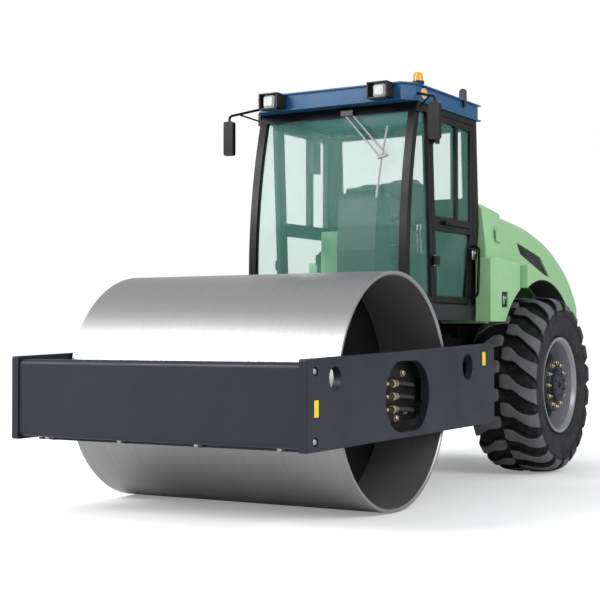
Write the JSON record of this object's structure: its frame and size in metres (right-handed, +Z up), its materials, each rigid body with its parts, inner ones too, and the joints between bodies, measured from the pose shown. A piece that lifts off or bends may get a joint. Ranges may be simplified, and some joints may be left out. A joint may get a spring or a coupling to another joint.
{
  "type": "single drum road roller",
  "caption": "Articulated single drum soil roller with a closed cab, tilting hood, side plates round the drum and lugged rear tyres.",
  "frame": {"origin": "on the ground, under the middle of the machine", "axes": "+X the machine's left, +Y its rear, +Z up; the drum points along -Y"},
  "size_m": [2.28, 5.9, 3.1718],
  "materials": {
    "frame_paint": "satin slate paint",
    "chassis_paint": "satin black paint",
    "engine_block": "plain cast",
    "drum_steel": "rolled bare steel",
    "drum_inside": "flat black paint",
    "cab_paint": "satin black paint",
    "sill_paint": "satin grey paint",
    "roof_paint": "satin blue paint",
    "window_glass": "green tinted safety glass",
    "lamp_body": "black moulded plastic",
    "lamp_lens": "clear fluted lens",
    "amber_lens": "amber lens",
    "bright_metal": "bare satin metal",
    "seat_cover": "dark woven cover",
    "cab_plastic": "grained dark plastic",
    "body_paint": "satin light green paint",
    "grille": "black mesh",
    "tyre": "dusty black rubber",
    "rim_paint": "satin silver paint",
    "cylinder_paint": "satin black paint",
    "chrome_rod": "polished"
  },
  "bodies": {
    "rear": {"chassis": "chassis_paint", "rear_axle": "chassis_paint", "engine": "engine_block", "counterweight": "frame_paint", "cab_floor": "sill_paint", "cab_frame": "cab_paint", "cab_glass": "window_glass", "roof": "roof_paint", "roof_lamps": "lamp_body", "lamp_lenses": "lamp_lens", "amber_lamps": "amber_lens", "mirrors": "cab_paint", "wiper": "bright_metal", "seat": "seat_cover", "console": "cab_plastic", "steering_wheel": "cab_plastic", "side_cabinet": "body_paint", "bulkhead": "body_paint", "side_boxes": "body_paint", "steps": "chassis_paint", "grab_handles": "cab_paint"},
    "yoke": {"yoke": "frame_paint"},
    "front_frame": {"side_plate_left": "frame_paint", "side_plate_right": "frame_paint", "front_beam": "frame_paint", "cross_beam": "frame_paint", "drum_carriers": "chassis_paint", "scrapers": "frame_paint"},
    "drum": {"drum_shell": "drum_steel", "drum_heads": "drum_inside"},
    "wheel_left": {"tyre_left": "tyre", "wheel_rim_left": "rim_paint"},
    "wheel_right": {"tyre_right": "tyre", "wheel_rim_right": "rim_paint"},
    "hood": {"hood_shell": "body_paint", "hood_grilles": "grille", "rear_fenders": "body_paint"},
    "door_left": {"door_frame_left": "cab_paint", "door_glass_left": "window_glass"},
    "door_right": {"door_frame_right": "cab_paint", "door_glass_right": "window_glass"},
    "steer_barrel_left": {"steer_barrel_left": "cylinder_paint"},
    "steer_barrel_right": {"steer_barrel_right": "cylinder_paint"},
    "steer_rod_left": {"steer_rod_left": "chrome_rod"},
    "steer_rod_right": {"steer_rod_right": "chrome_rod"}
  },
  "joints": [
    {"name": "steer", "type": "hinge", "parent": "rear", "child": "yoke", "pos_m": [0, -0.1385, 0.8], "axis": [0, 0, 1], "range_deg": [-35, 35]},
    {"name": "oscillate", "type": "hinge", "parent": "yoke", "child": "front_frame", "pos_m": [0, -0.4435, 0.8], "axis": [0, 1, 0], "range_deg": [-8, 8]},
    {"name": "drum_spin", "type": "hinge", "parent": "front_frame", "child": "drum", "pos_m": [0, -1.657, 0.8], "axis": [1, 0, 0], "continuous": true},
    {"name": "wheel_left_spin", "type": "hinge", "parent": "rear", "child": "wheel_left", "pos_m": [0.8335, 1.38, 0.75], "axis": [1, 0, 0], "continuous": true},
    {"name": "wheel_right_spin", "type": "hinge", "parent": "rear", "child": "wheel_right", "pos_m": [-0.8335, 1.38, 0.75], "axis": [1, 0, 0], "continuous": true},
    {"name": "hood_tilt", "type": "hinge", "parent": "rear", "child": "hood", "pos_m": [0, 2.865, 1.17], "axis": [-1, 0, 0], "range_deg": [0, 55]},
    {"name": "door_left_swing", "type": "hinge", "parent": "rear", "child": "door_left", "pos_m": [0.709, -0.3, 1.5], "axis": [0, 0, -1], "range_deg": [0, 90]},
    {"name": "door_right_swing", "type": "hinge", "parent": "rear", "child": "door_right", "pos_m": [-0.709, -0.3, 1.5], "axis": [0, 0, 1], "range_deg": [0, 90]},
    {"name": "steer_barrel_left_swing", "type": "hinge", "parent": "rear", "child": "steer_barrel_left", "pos_m": [0.3, 0.4815, 0.79], "axis": [0, 0, 1], "range_deg": [-1.07, 1.07]},
    {"name": "steer_rod_left_slide", "type": "slide", "parent": "steer_barrel_left", "child": "steer_rod_left", "axis": [-0.0905, -0.9959, 0], "range_m": [-0.13886, 0.13886]},
    {"name": "steer_barrel_right_swing", "type": "hinge", "parent": "rear", "child": "steer_barrel_right", "pos_m": [-0.3, 0.4815, 0.79], "axis": [0, 0, 1], "range_deg": [-1.07, 1.07]},
    {"name": "steer_rod_right_slide", "type": "slide", "parent": "steer_barrel_right", "child": "steer_rod_right", "axis": [0.0905, -0.9959, 0], "range_m": [-0.13886, 0.13886]}
  ],
  "couplings": [
    {"joint": "steer_barrel_left_swing", "follows": "steer", "ratio": 0.02481},
    {"joint": "steer_rod_left_slide", "follows": "steer", "m_per_rad": -0.22405},
    {"joint": "steer_barrel_right_swing", "follows": "steer", "ratio": 0.02481},
    {"joint": "steer_rod_right_slide", "follows": "steer", "m_per_rad": 0.22405}
  ]
}
